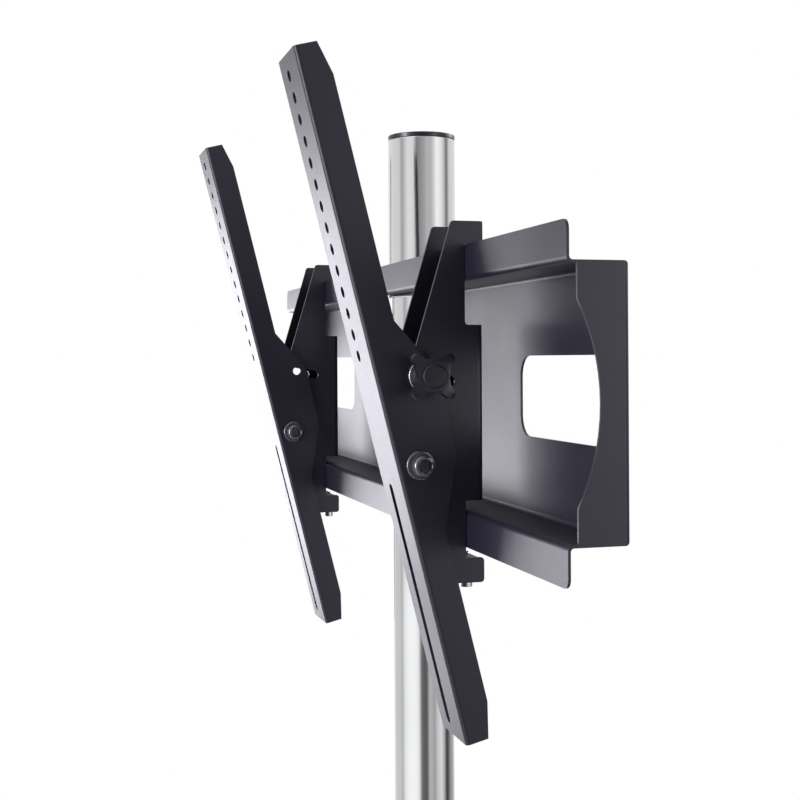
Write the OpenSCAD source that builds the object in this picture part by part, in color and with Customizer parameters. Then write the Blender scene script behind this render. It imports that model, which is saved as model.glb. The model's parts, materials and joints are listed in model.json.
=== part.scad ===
// Display stand with a tilting screen mount: a chromed column on a steel base carries a folded
// steel beam, two bracket hooks hang on the beam, and each hook holds a tilting screen arm.
// X runs along the beam, Y to the back, Z up. The origin is the middle of the base on the floor.

/* [Column] */
// Height of the upper rim of the top sleeve above the floor
column_h = 1601; // [1450:1:2000]
// Length of the wider sleeve on top of the pole
sleeve_len = 158; // [120:1:220]
// Wall of the sleeve
sleeve_wall = 3.4; // [2:0.1:5]
// Outer diameter of the pole
pole_d = 60; // [50:0.5:66]
// Wall of the pole
pole_wall = 2; // [1.5:0.1:4]
// Length of pole that stands inside the sleeve
pole_insert = 95; // [50:1:115]
// Thickness of the cap's rim
cap_rim_t = 4.6; // [2:0.1:6]
// Rise of the cap's dome over its rim
cap_rise = 2; // [0.5:0.1:5]
// Length of the cap's plug inside the sleeve
cap_plug_len = 18; // [8:1:30]
// Wall of the cap's plug
cap_wall = 2.5; // [1.5:0.1:4]

/* [Base] */
// Width of the base plate
base_w = 780; // [600:5:900]
// Depth of the base plate
base_d = 560; // [450:5:700]
// Thickness of the base plate
base_t = 8; // [6:0.5:15]
// Corner radius of the base plate
base_corner_r = 60; // [20:1:120]
// Distance of the column behind the middle of the base
pole_setback = 100; // [0:1:150]
// Diameter of the column's foot flange
flange_d = 150; // [130:1:190]
// Thickness of the foot flange
flange_t = 8; // [6:0.5:12]
// Height of the flange's spigot inside the pole
spigot_h = 70; // [40:1:120]
// Wall of the flange's spigot
spigot_wall = 4; // [3:0.1:8]
// Diameter of the circle of base bolts
base_bolt_circle_d = 106; // [100:1:118]
// Thread diameter of the base bolts
base_bolt_d = 10; // [8:0.5:12]
// Height of a glide under the base plate
glide_h = 8; // [5:0.5:15]
// Diameter of a glide
glide_d = 40; // [30:1:60]
// Distance from the base plate's edges to the middle of a glide
glide_inset = 55; // [40:1:90]

/* [Beam] */
// Drop of the beam's centre line below the sleeve's lower rim
mount_drop = 91; // [60:1:500]
// Length of the beam
beam_len = 950; // [860:1:1100]
// Height of the beam's channel over both ledges
beam_h = 189; // [175:1:205]
// Depth of the beam from the lips' front face to the web's back face
beam_depth = 45.6; // [42:0.1:60]
// Height of a lip over its ledge
lip_h = 27; // [25:0.5:32]
// Thickness of the beam's sheet
beam_t = 2; // [2:0.1:3]
// Inner radius of the beam's bends
beam_bend_r = 2.5; // [1:0.1:3]
// Radius of the lips' outer corners
lip_corner_r = 7; // [3:0.5:12]
// Width of a window in the web
window_w = 168; // [120:1:180]
// Height of a window in the web
window_h = 64; // [40:1:90]
// Corner radius of a window
window_r = 17; // [8:1:20]
// Distance from the beam's end to its window
window_edge = 29; // [20:1:40]
// Width of the opening for the column in the web and the upper ledge
column_gap_w = 260; // [220:1:280]
// Clearance of the column in the lower ledge's notch
column_play = 4; // [2:0.5:6]
// Distance of the end walls' front edges behind the lips' front face
end_wall_setback = 7.5; // [5:0.5:10]
// Depth of the scoop in an end wall
scoop_depth = 16.5; // [8:0.5:20]
// Height of the scoop in an end wall
scoop_h = 138; // [100:1:150]

/* [Column clamp] */
// Height of the clamp on the column
clamp_h = 80; // [60:1:100]
// Thickness of the clamp's steel
clamp_t = 5; // [4:0.5:6]
// Length of the rear clamp plate
clamp_span = 350; // [340:1:370]
// Width of the front clamp jaw
jaw_w = 118; // [112:1:130]
// Gap between the jaw's wings and the rear plate
clamp_gap = 3; // [2:0.1:5]
// Distance between the two columns of clamp bolts
clamp_bolt_pitch = 92; // [90:1:98]
// Distance between the two columns of beam bolts
beam_bolt_pitch = 304; // [296:1:312]
// Distance between the two rows of bolts
bolt_row_pitch = 50; // [36:1:56]
// Thread diameter of the clamp and beam bolts
clamp_bolt_d = 8; // [6:0.5:10]
// Length of the rear plate's ribs
rib_len = 70; // [50:1:90]
// Thickness of the rear plate's ribs
rib_t = 4; // [3:0.5:6]

/* [Bracket hooks] */
// Place of the right hook along the beam
right_hook_x = 242.5; // [150:0.5:300]
// Place of the left hook along the beam
left_hook_x = -268; // [-300:0.5:-150]
// Outer width of a hook
hook_w = 54; // [46:0.5:60]
// Thickness of a hook's steel
hook_t = 3; // [2.5:0.1:4]
// Outer radius of a hook's bends
hook_bend_r = 4.5; // [4:0.1:6]
// Height of a hook's top over the lip's edge
hook_head_h = 19; // [15:0.5:25]
// Depth of a hook inside the beam's channel
hook_reach = 15; // [13:0.5:17]
// Width of a hook's nose in front of the lip at the top
hook_brow = 11.5; // [8:0.5:16]
// Distance of the tilt pivot in front of the lips
pivot_out = 39.3; // [36:0.1:42]
// Distance of the tilt pivot below the beam's centre line
pivot_drop = 54.3; // [45:0.1:60]
// Radius of the hook's nose round the pivot
nose_r = 14.3; // [12:0.1:14.6]
// Height of the hook's step below the upper ledge
step_drop = 35.5; // [30:0.5:45]
// Height of the hook's lower step above the lower ledge
step_rise = 8.5; // [6:0.5:15]
// Height of a hook's foot below its cross wall
foot_h = 20; // [18:0.5:26]
// Gap between the lower lip and the foot's cross wall
foot_gap = 8.5; // [6:0.5:12]
// Thread diameter of the safety screw
safety_d = 6; // [5:0.5:6.5]

/* [Screen arms] */
// Length of an arm
arm_len = 569; // [540:1:600]
// Length of an arm below the pivot
arm_low = 228; // [220:1:240]
// Width of an arm's front face
arm_face_w = 62; // [56:0.5:68]
// Depth of an arm's side plate
arm_depth = 25.6; // [24:0.1:30]
// Distance of the pivot behind the arm's front face
arm_front = 18.3; // [18:0.1:20]
// Thickness of an arm's steel
arm_t = 3; // [2.5:0.1:3.4]
// Outer radius of an arm's bend
arm_bend_r = 3.6; // [3.5:0.1:6]
// Tilt of the arms at rest
tilt = 14; // [-3:0.5:15]
// Largest forward tilt
tilt_max = 15; // [15:0.5:16]
// Largest backward tilt
tilt_min = -3; // [-4:0.5:-3]
// Number of round screen holes in an arm
hole_count = 14; // [10:1:14]
// Distance between the screen holes
hole_pitch = 17.75; // [14:0.05:18]
// Diameter of the screen holes and width of the slot
hole_d = 9.5; // [7:0.1:11]
// Distance of the screen holes from the face's free edge
hole_edge = 24; // [18:0.5:28]
// Distance of the first hole from the arm's top
hole_top = 16.3; // [12:0.1:25]
// Length of the screen slot
slot_len = 205; // [150:1:207]
// Distance of the slot's lower end from the arm's bottom
slot_low = 9.5; // [8:0.5:20]
// Width of the arm's ear behind the side plate
ear_w = 25; // [24:0.5:27]

/* [Pivot and knob] */
// Distance of the tilt bolt behind the pivot, square to the arm
tilt_bolt_back = 21; // [20:0.1:21.5]
// Distance of the tilt bolt above the pivot, along the arm
tilt_bolt_up = 67.5; // [66:0.1:69]
// Thread diameter of the tilt bolt
tilt_bolt_d = 8; // [6:0.1:8.4]
// Diameter of the pivot bolt
pivot_d = 12; // [8:0.1:12.5]
// Diameter of the pivot washer
pivot_washer_d = 24; // [21:0.5:26]
// Thickness of the pivot washer
pivot_washer_t = 2.5; // [1.5:0.1:3]
// Diameter across the knob's lobes
knob_d = 47; // [44:1:54]
// Thickness of the knob's lobes
knob_t = 10; // [8:0.5:16]
// Turn of the knob at rest
knob_turn = 14; // [-45:1:45]
// Length of the knob's hub between washer and lobes
hub_len = 14; // [8:0.5:18]
// Diameter of the knob's hub
hub_d = 22; // [18:0.5:23]
// Thickness of the washer under the knob
knob_washer_t = 2; // [1.5:0.1:3]
// Diameter of the washer under the knob
knob_washer_d = 27; // [22:0.5:30]
// Diameter of the knob's cap disc
knob_cap_d = 19; // [16:0.5:20]
// Thickness of the knob's cap disc
knob_cap_t = 3; // [2:0.2:4]
// Wall of the threaded insert in the knob
insert_wall = 2; // [1.5:0.1:3]

/* [Fits] */
// Running clearance of a shaft in its hole, on the radius
run_fit = 0.05; // [0.02:0.01:0.09]
// Gap between plates that slide over each other
slide_gap = 0.3; // [0.2:0.05:0.5]
// Clearance of a screw in a drilled hole, on the radius
drill_fit = 0.5; // [0.3:0.05:0.8]

/* [Hidden] */
$fn = 72;

steel_color = [0.19, 0.19, 0.22];
chrome_color = [0.82, 0.84, 0.86];
plastic_color = [0.09, 0.09, 0.1];
bolt_color = [0.14, 0.14, 0.15];
zinc_color = [0.7, 0.71, 0.73];
brass_color = [0.75, 0.62, 0.32];
rubber_color = [0.06, 0.06, 0.06];

// Extra length of every cutting tool past the face that it cuts
overrun = 1;
// Number of straight steps in a rounded corner of an outline
corner_steps = 8;

// Column places
pole_r = pole_d / 2;
sleeve_bore_r = pole_r + run_fit;
sleeve_r = sleeve_bore_r + sleeve_wall;
plate_top = glide_h + base_t;
pole_bottom = plate_top + flange_t;
sleeve_bottom = column_h - sleeve_len;
mount_h = sleeve_bottom - mount_drop;
pole_top = sleeve_bottom + pole_insert;
plug_r = sleeve_bore_r - run_fit;
spigot_r = pole_r - pole_wall - run_fit;
base_head_r = base_bolt_d;
base_head_h = base_bolt_d / 2;
base_bolt_len = base_t + flange_t * 0.75;

// Beam places, measured from the lips' front face and the beam's centre line
lip_y = pole_setback - beam_depth;
ledge_z = beam_h / 2;
lip_z = ledge_z + lip_h;
beam_outer_r = beam_bend_r + beam_t;
window_outer_x = beam_len / 2 - window_edge;
scoop_r = (pow(scoop_h / 2, 2) + pow(scoop_depth, 2)) / (2 * scoop_depth);

// Clamp places, measured from the column's axis
clamp_bore_r = pole_r + run_fit;
clamp_outer_r = clamp_bore_r + clamp_t;
bolt_hole_r = clamp_bolt_d / 2 + drill_fit;
bolt_head_r = clamp_bolt_d * 0.94;
bolt_head_h = clamp_bolt_d * 0.66;
bolt_nut_h = clamp_bolt_d * 0.81;
bolt_tip = clamp_bolt_d * 0.4;

// Hook places, measured from the middle of the hook, the lips' front face and the centre line
hook_half_w = hook_w / 2;
hook_top_z = lip_z + hook_head_h;
finger_z = ledge_z + (lip_h - beam_t) * 0.4;
finger_y = beam_t + slide_gap * 3;
notch_y = -slide_gap;
body_top_z = ledge_z - beam_t - step_drop;
body_low_z = -ledge_z + beam_t + step_rise;
back_bend_y = hook_reach - hook_bend_r;
cross_wall_z = -lip_z - foot_gap;
foot_z = cross_wall_z - foot_h;
shoulder_y = -(hook_brow + (pivot_out + nose_r - hook_brow) * 0.83);
shoulder_z = pivot_drop * 0.42;
foot_front_y = -pivot_out * 0.56;
nose_corner = touching_corner(
    [foot_front_y, foot_z], [shoulder_y, shoulder_z], [-pivot_out, -pivot_drop], nose_r);
safety_y = beam_t + safety_d * 1.1;
safety_tip_z = cross_wall_z + safety_d * 0.25;
safety_nut_h = safety_d * 0.8;
safety_head_z = foot_z - slide_gap;
safety_head_h = safety_d * 1.2;
safety_head_r = safety_d * 0.84;
safety_hole_r = safety_d / 2 + drill_fit;

// Arm places, measured from the pivot, square to the arm and along it
arm_side_x = hook_half_w + slide_gap + arm_t;
arm_high = arm_len - arm_low;
arm_back = arm_depth - arm_front;
arm_top_chamfer = arm_depth * 1.07;
arm_low_chamfer = arm_depth * 1.15;
arm_chamfer_w = arm_depth * 0.26;
ear_y = arm_back + ear_w;
ear_top_z = tilt_bolt_up * 1.72;
ear_shoulder_z = tilt_bolt_up * 1.02;
ear_low_z = -tilt_bolt_up * 0.84;
hole_x = -arm_face_w + hole_edge;
slot_low_z = -arm_low + slot_low + hole_d / 2;
slot_high_z = -arm_low + slot_low + slot_len - hole_d / 2;

// Pivot and knob places, measured from the middle of the hook and from the arm's side face
tilt_bolt_r = tilt_bolt_d / 2;
tilt_bolt_reach = norm([tilt_bolt_back, tilt_bolt_up]);
tilt_bolt_angle = atan2(tilt_bolt_back, tilt_bolt_up);
arc_slot_r = tilt_bolt_r + drill_fit;
arc_spare = 1;
pivot_r = pivot_d / 2;
pivot_head_r = pivot_d * 0.76;
pivot_head_h = pivot_d;
pivot_head_rise = pivot_head_h * 0.3;
pivot_nut_r = pivot_d * 0.92;
pivot_nut_h = pivot_d;
pivot_washer_r = pivot_washer_d / 2;
hook_inner_w = hook_w - 2 * hook_t;
washer_face_x = arm_side_x + slide_gap + pivot_washer_t;
far_washer_x = -hook_half_w - pivot_washer_t;
tilt_head_r = tilt_bolt_d * 1.1;
tilt_head_h = tilt_bolt_d * 0.5;
tilt_head_x = hook_half_w - hook_t - slide_gap;
hub_x = arm_side_x + knob_washer_t + slide_gap;
lobe_x = hub_x + hub_len;
knob_face_x = lobe_x + knob_t;
cap_seat = knob_cap_t / 2;
insert_r = tilt_bolt_r + insert_wall;
insert_len = hub_len + knob_t * 0.4;
lobe_ring_r = knob_d * 0.42;
lobe_r = knob_d / 2 - lobe_ring_r;
scallop_floor_r = knob_d * 0.262;
scallop_r = knob_d * 0.36;
knob_edge_r = knob_t * 0.2;
knob_cap_edge = knob_cap_t / 4;

function xy(p) = [p[0], p[1]];
function unit(v) = v / norm(v);
function turn(from, to) =
    to - from > 180 ? to - from - 360 : to - from < -180 ? to - from + 360 : to - from;

// Points of the arc of radius r that rounds the corner b between a and c. The arc is shortened
// where the sides are too short for it.
function corner_arc(a, b, c, r) =
    let (
        u = unit(a - b),
        w = unit(c - b),
        half = acos(u * w) / 2,
        reach = min(r / tan(half), norm(a - b) / 2, norm(c - b) / 2),
        radius = reach * tan(half),
        centre = b + unit(u + w) * radius / sin(half),
        first = b + u * reach - centre,
        last = b + w * reach - centre,
        start = atan2(first[1], first[0]),
        sweep = turn(start, atan2(last[1], last[0]))
    )
    [for (i = [0 : corner_steps])
        centre + radius * [cos(start + sweep * i / corner_steps), sin(start + sweep * i / corner_steps)]];

// Outline with rounded corners. Each point is [x, y, radius], and radius 0 keeps the corner sharp.
function rounded(points) =
    let (n = len(points))
    [for (i = [0 : n - 1])
        each (points[i][2] > 0
            ? corner_arc(xy(points[(i + n - 1) % n]), xy(points[i]), xy(points[(i + 1) % n]), points[i][2])
            : [xy(points[i])])];

// Normal of the line through p that touches the circle of radius r about the origin, on the
// side that side names.
function touching_normal(p, r, side) =
    let (a = atan2(p[1], p[0]) + side * acos(r / norm(p)))
    [cos(a), sin(a)];

// Corner where the lines from p and q meet that both touch the circle of radius r about centre.
function touching_corner(p, q, centre, r) =
    let (
        n = touching_normal(p - centre, r, -1),
        m = touching_normal(q - centre, r, 1)
    )
    centre + r * (n + m) / (1 + n * m);

// Extrudes a drawing of Y and Z along X, from x = 0 to x = width.
module across(width) {
    rotate([90, 0, 90])
        linear_extrude(height = width)
            children();
}

// Extrudes a drawing of X and Z along Y, from y = 0 to y = depth.
module through(depth) {
    translate([0, depth, 0])
        rotate([90, 0, 0])
            linear_extrude(height = depth)
                children();
}

// Rectangle about the origin with true round corners.
module round_rect(w, h, r) {
    square([w - 2 * r, h], center = true);
    square([w, h - 2 * r], center = true);
    for (sx = [-1, 1], sy = [-1, 1])
        translate([sx * (w / 2 - r), sy * (h / 2 - r)])
            circle(r = r);
}

// Quarter of a ring about the origin, in the quadrant that sx and sy name.
module quarter_ring(inner_r, outer_r, sx, sy) {
    intersection() {
        difference() {
            circle(r = outer_r);
            circle(r = inner_r);
        }
        translate([sx > 0 ? 0 : -outer_r, sy > 0 ? 0 : -outer_r])
            square(outer_r);
    }
}

module along_x(r, from_x, to_x) {
    translate([from_x, 0, 0])
        rotate([0, 90, 0])
            cylinder(r = r, h = to_x - from_x);
}

module along_y(r, from_y, to_y) {
    translate([0, from_y, 0])
        rotate([-90, 0, 0])
            cylinder(r = r, h = to_y - from_y);
}

module hex_along_y(r, from_y, to_y) {
    translate([0, from_y, 0])
        rotate([-90, 0, 0])
            cylinder(r = r, h = to_y - from_y, $fn = 6);
}

// Base and column

module at_glides() {
    for (sx = [-1, 1], sy = [-1, 1])
        translate([sx * (base_w / 2 - glide_inset), sy * (base_d / 2 - glide_inset), 0])
            children();
}

module at_base_bolts() {
    for (a = [45 : 90 : 315])
        translate([0, pole_setback, 0])
            rotate([0, 0, a])
                translate([base_bolt_circle_d / 2, 0, 0])
                    children();
}

module base_bolt_shape(slack) {
    translate([0, 0, glide_h])
        cylinder(r1 = base_head_r + slack, r2 = base_bolt_d / 2 + slack, h = base_head_h);
    translate([0, 0, glide_h])
        cylinder(r = base_bolt_d / 2 + slack, h = base_bolt_len);
}

module base_plate() {
    color(steel_color)
        difference() {
            translate([0, 0, glide_h])
                linear_extrude(height = base_t)
                    round_rect(base_w, base_d, base_corner_r);
            at_base_bolts()
                base_bolt_shape(run_fit);
        }
}

module base_glides() {
    color(rubber_color)
        at_glides()
            rotate_extrude()
                polygon([
                    [0, 0],
                    [glide_d / 2 - glide_h / 4, 0],
                    [glide_d / 2, glide_h / 4],
                    [glide_d / 2, glide_h * 3 / 4],
                    [glide_d / 2 - glide_h / 4, glide_h],
                    [0, glide_h]
                ]);
}

module foot_flange() {
    color(steel_color)
        difference() {
            translate([0, pole_setback, plate_top])
                rotate_extrude()
                    polygon([
                        [spigot_r - spigot_wall, 0],
                        [flange_d / 2, 0],
                        [flange_d / 2, flange_t * 0.75],
                        [flange_d / 2 - flange_t / 4, flange_t],
                        [spigot_r, flange_t],
                        [spigot_r, flange_t + spigot_h - spigot_wall / 2],
                        [spigot_r - spigot_wall / 2, flange_t + spigot_h],
                        [spigot_r - spigot_wall, flange_t + spigot_h]
                    ]);
            at_base_bolts()
                base_bolt_shape(run_fit);
        }
}

module base_bolts() {
    color(bolt_color)
        at_base_bolts()
            base_bolt_shape(0);
}

module pole() {
    color(chrome_color)
        translate([0, pole_setback, pole_bottom])
            difference() {
                cylinder(r = pole_r, h = pole_top - pole_bottom);
                translate([0, 0, -overrun])
                    cylinder(r = pole_r - pole_wall, h = pole_top - pole_bottom + 2 * overrun);
            }
}

module top_sleeve() {
    color(chrome_color)
        translate([0, pole_setback, sleeve_bottom])
            difference() {
                cylinder(r = sleeve_r, h = sleeve_len);
                translate([0, 0, -overrun])
                    cylinder(r = sleeve_bore_r, h = sleeve_len + 2 * overrun);
            }
}

// Push-in cap: a domed rim on the sleeve's edge, and a hollow plug in its bore.
module sleeve_cap() {
    dome_r = (pow(sleeve_r, 2) + pow(cap_rise, 2)) / (2 * cap_rise);
    color(plastic_color)
        translate([0, pole_setback, column_h]) {
            intersection() {
                cylinder(r = sleeve_r, h = cap_rim_t + cap_rise);
                translate([0, 0, cap_rim_t + cap_rise - dome_r])
                    sphere(r = dome_r, $fn = 200);
            }
            difference() {
                translate([0, 0, -cap_plug_len])
                    cylinder(r = plug_r, h = cap_plug_len);
                translate([0, 0, -cap_plug_len - overrun])
                    cylinder(r = plug_r - cap_wall, h = cap_plug_len + overrun);
            }
        }
}

// Beam

// Half of the beam's section in Y and Z: half the web, a ledge and its lip.
module half_section() {
    translate([beam_depth - beam_t, 0])
        square([beam_t, ledge_z - beam_outer_r]);
    translate([beam_depth - beam_outer_r, ledge_z - beam_outer_r])
        quarter_ring(beam_bend_r, beam_outer_r, 1, 1);
    translate([beam_outer_r, ledge_z - beam_t])
        square([beam_depth - 2 * beam_outer_r, beam_t]);
    translate([beam_outer_r, ledge_z + beam_bend_r])
        quarter_ring(beam_bend_r, beam_outer_r, -1, -1);
    translate([0, ledge_z + beam_bend_r])
        square([beam_t, lip_h - beam_bend_r]);
}

// Wall at the beam's end, folded forward from the web, with a scooped front edge.
module end_wall() {
    difference() {
        translate([beam_len / 2 - beam_t, end_wall_setback, -ledge_z + beam_t])
            cube([beam_t, beam_depth - end_wall_setback, beam_h - 2 * beam_t]);
        translate([beam_len / 2, end_wall_setback + scoop_depth - scoop_r, 0])
            along_x(scoop_r, -beam_t - overrun, overrun);
    }
    translate([beam_len / 2 - beam_outer_r, beam_depth - beam_outer_r, -ledge_z + beam_t])
        linear_extrude(height = beam_h - 2 * beam_t)
            quarter_ring(beam_bend_r, beam_outer_r, 1, 1);
}

module beam() {
    color(steel_color)
        translate([0, lip_y, mount_h])
            difference() {
                intersection() {
                    union() {
                        translate([-beam_len / 2, 0, 0])
                            across(beam_len) {
                                half_section();
                                mirror([0, 1])
                                    half_section();
                            }
                        end_wall();
                        mirror([1, 0, 0])
                            end_wall();
                    }
                    through(beam_depth)
                        round_rect(beam_len, 2 * lip_z, lip_corner_r);
                    translate([0, 0, -lip_z])
                        linear_extrude(height = 2 * lip_z)
                            round_rect(beam_len, 2 * beam_depth, beam_outer_r);
                }
                for (side = [-1, 1])
                    translate([side * (window_outer_x - window_w / 2), beam_depth - beam_t - overrun, 0])
                        through(beam_t + 2 * overrun)
                            round_rect(window_w, window_h, window_r);
                translate([-column_gap_w / 2, beam_outer_r, -ledge_z + beam_outer_r])
                    cube([column_gap_w, beam_depth, beam_h - beam_bend_r]);
                translate([-column_gap_w / 2, beam_depth - beam_outer_r, -ledge_z - overrun])
                    cube([column_gap_w, beam_depth, beam_outer_r + 2 * overrun]);
                translate([0, beam_depth, -ledge_z - overrun])
                    cylinder(r = pole_r + column_play, h = beam_t + 2 * overrun);
                at_beam_bolts()
                    along_y(bolt_hole_r, beam_depth - beam_t - overrun, beam_depth + overrun);
            }
}

// Column clamp

module at_beam_bolts() {
    for (sx = [-1, 1], sz = [-1, 1])
        translate([sx * beam_bolt_pitch / 2, 0, sz * bolt_row_pitch / 2])
            children();
}

module at_clamp_bolts() {
    for (sx = [-1, 1], sz = [-1, 1])
        translate([sx * clamp_bolt_pitch / 2, 0, sz * bolt_row_pitch / 2])
            children();
}

module on_column() {
    translate([0, pole_setback, mount_h])
        children();
}

module clamp_rear_plate() {
    color(steel_color)
        on_column()
            difference() {
                union() {
                    translate([0, 0, -clamp_h / 2])
                        linear_extrude(height = clamp_h) {
                            intersection() {
                                circle(r = clamp_outer_r);
                                translate([-clamp_outer_r, 0])
                                    square([2 * clamp_outer_r, clamp_outer_r]);
                            }
                            translate([-clamp_span / 2, 0])
                                square([clamp_span, clamp_t]);
                        }
                    for (side = [-1, 1], z = [-clamp_h / 2, clamp_h / 2 - rib_t])
                        translate([0, 0, z])
                            linear_extrude(height = rib_t)
                                polygon([
                                    [side * pole_r, clamp_t / 2],
                                    [side * (pole_r + rib_len), clamp_t / 2],
                                    [side * (pole_r + rib_len), clamp_t * 1.5],
                                    [side * pole_r * 0.8, pole_r * 0.8]
                                ]);
                }
                translate([0, 0, -clamp_h / 2 - overrun])
                    cylinder(r = clamp_bore_r, h = clamp_h + 2 * overrun);
                at_clamp_bolts()
                    along_y(bolt_hole_r, -overrun, clamp_t + overrun);
                at_beam_bolts()
                    along_y(bolt_hole_r, -overrun, clamp_t + overrun);
            }
}

module clamp_front_jaw() {
    color(steel_color)
        on_column()
            difference() {
                translate([0, 0, -clamp_h / 2])
                    linear_extrude(height = clamp_h) {
                        intersection() {
                            circle(r = clamp_outer_r);
                            translate([-clamp_outer_r, -clamp_outer_r])
                                square([2 * clamp_outer_r, clamp_outer_r - clamp_gap]);
                        }
                        translate([-jaw_w / 2, -clamp_gap - clamp_t])
                            square([jaw_w, clamp_t]);
                    }
                translate([0, 0, -clamp_h / 2 - overrun])
                    cylinder(r = clamp_bore_r, h = clamp_h + 2 * overrun);
                at_clamp_bolts()
                    along_y(bolt_hole_r, -clamp_gap - clamp_t - overrun, -clamp_gap + overrun);
            }
}

module clamp_bolts() {
    head_y = -clamp_gap - clamp_t;
    color(bolt_color)
        on_column()
            at_clamp_bolts() {
                hex_along_y(bolt_head_r, head_y - bolt_head_h, head_y);
                along_y(clamp_bolt_d / 2, head_y, clamp_t + bolt_nut_h + bolt_tip);
            }
}

module plate_nut() {
    difference() {
        hex_along_y(bolt_head_r, clamp_t, clamp_t + bolt_nut_h);
        along_y(clamp_bolt_d / 2 + run_fit, clamp_t - overrun, clamp_t + bolt_nut_h + overrun);
    }
}

module clamp_nuts() {
    color(bolt_color)
        on_column()
            at_clamp_bolts()
                plate_nut();
}

// Low domed heads lie in the channel, against the front face of the web.
module beam_bolts() {
    head_h = bolt_head_h * 0.7;
    head_r = clamp_bolt_d;
    dome_r = (pow(head_r, 2) + pow(head_h, 2)) / (2 * head_h);
    color(bolt_color)
        on_column()
            at_beam_bolts() {
                translate([0, -beam_t, 0])
                    rotate([90, 0, 0])
                        intersection() {
                            cylinder(r = head_r, h = head_h);
                            translate([0, 0, head_h - dome_r])
                                sphere(r = dome_r);
                        }
                along_y(clamp_bolt_d / 2, -beam_t, clamp_t + bolt_nut_h + bolt_tip);
            }
}

module beam_nuts() {
    color(bolt_color)
        on_column()
            at_beam_bolts()
                plate_nut();
}

// Bracket hooks

module on_beam(hook_x) {
    translate([hook_x, lip_y, mount_h])
        children();
}

module on_pivot(hook_x) {
    on_beam(hook_x)
        translate([0, -pivot_out, -pivot_drop])
            children();
}

// Side view of a hook, from the finger over the lip to the foot under the lower lip. The edge
// below the shoulder bends round the pivot, where the arm's front face swings past it.
hook_outline = rounded([
    [-hook_brow, hook_top_z, hook_t],
    [hook_reach, hook_top_z, hook_t / 2],
    [hook_reach, finger_z, hook_t],
    [finger_y, finger_z, 0],
    [finger_y, lip_z + slide_gap, 0],
    [notch_y, lip_z + slide_gap, 0],
    [notch_y, body_top_z, hook_t],
    [back_bend_y, body_top_z, 0],
    [back_bend_y, body_low_z, 0],
    [notch_y, body_low_z, 0],
    [notch_y, cross_wall_z, 0],
    [hook_reach, cross_wall_z, hook_t],
    [hook_reach, foot_z, hook_t],
    [foot_front_y, foot_z, hook_t * 2],
    [nose_corner[0], nose_corner[1], nose_r],
    [shoulder_y, shoulder_z, nose_r * 2]
]);

// Arc slot for the tilt bolt, about the pivot, cut along X.
module arc_slot(width) {
    back_angle = 90 - (tilt_bolt_angle - tilt_min) - arc_spare;
    front_angle = 90 - (tilt_bolt_angle - tilt_max) + arc_spare;
    rotate([90, 0, 90])
        rotate([0, 0, back_angle]) {
            rotate_extrude(angle = front_angle - back_angle)
                translate([tilt_bolt_reach - arc_slot_r, 0])
                    square([2 * arc_slot_r, width]);
            for (a = [0, front_angle - back_angle])
                rotate([0, 0, a])
                    translate([tilt_bolt_reach, 0, 0])
                        cylinder(r = arc_slot_r, h = width);
        }
}

// Plan of a hook's back: the wall behind the plates and the bends that join it to them.
module hook_back() {
    for (side = [-1, 1])
        translate([side * (hook_half_w - hook_bend_r), back_bend_y])
            quarter_ring(hook_bend_r - hook_t, hook_bend_r, side, 1);
    translate([-hook_half_w + hook_bend_r, hook_reach - hook_t])
        square([hook_w - 2 * hook_bend_r, hook_t]);
}

module hook(hook_x) {
    color(steel_color)
        difference() {
            union() {
                on_beam(hook_x)
                    for (x = [-hook_half_w, hook_half_w - hook_t])
                        translate([x, 0, 0])
                            across(hook_t)
                                polygon(hook_outline);
                on_beam(hook_x)
                    translate([0, 0, body_low_z])
                        linear_extrude(height = body_top_z - body_low_z)
                            hook_back();
                on_beam(hook_x)
                    translate([-hook_half_w + hook_t / 2, foot_front_y + hook_bend_r, cross_wall_z - hook_t])
                        cube([hook_w - hook_t, hook_reach - foot_front_y - 2 * hook_bend_r, hook_t]);
            }
            on_pivot(hook_x) {
                along_x(pivot_r + run_fit, -hook_half_w - overrun, hook_half_w + overrun);
                translate([-hook_half_w - overrun, 0, 0])
                    arc_slot(hook_w + 2 * overrun);
            }
            on_beam(hook_x)
                translate([0, safety_y, cross_wall_z - hook_t - overrun])
                    cylinder(r = safety_hole_r, h = hook_t + 2 * overrun);
        }
}

module pivot_bolt(hook_x) {
    dome_r = (pow(pivot_head_r, 2) + pow(pivot_head_rise, 2)) / (2 * pivot_head_rise);
    color(bolt_color)
        on_pivot(hook_x) {
            translate([washer_face_x, 0, 0])
                rotate([0, 90, 0])
                    intersection() {
                        cylinder(r = pivot_head_r, h = pivot_head_h);
                        translate([0, 0, pivot_head_h - dome_r])
                            sphere(r = dome_r);
                    }
            along_x(pivot_r, far_washer_x - pivot_nut_h - pivot_washer_t, washer_face_x);
        }
}

module pivot_washers(hook_x) {
    color(bolt_color)
        on_pivot(hook_x)
            for (x = [washer_face_x - pivot_washer_t, far_washer_x])
                difference() {
                    along_x(pivot_washer_r, x, x + pivot_washer_t);
                    along_x(pivot_r + run_fit, x - overrun, x + pivot_washer_t + overrun);
                }
}

module pivot_spacer(hook_x) {
    color(zinc_color)
        on_pivot(hook_x)
            difference() {
                along_x(pivot_r + hook_t, -hook_inner_w / 2, hook_inner_w / 2);
                along_x(pivot_r + run_fit, -hook_half_w, hook_half_w);
            }
}

module pivot_nut(hook_x) {
    color(zinc_color)
        on_pivot(hook_x)
            difference() {
                translate([far_washer_x - pivot_nut_h, 0, 0])
                    rotate([0, 90, 0])
                        cylinder(r = pivot_nut_r, h = pivot_nut_h, $fn = 6);
                along_x(pivot_r + run_fit, far_washer_x - pivot_nut_h - overrun, far_washer_x + overrun);
            }
}

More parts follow.
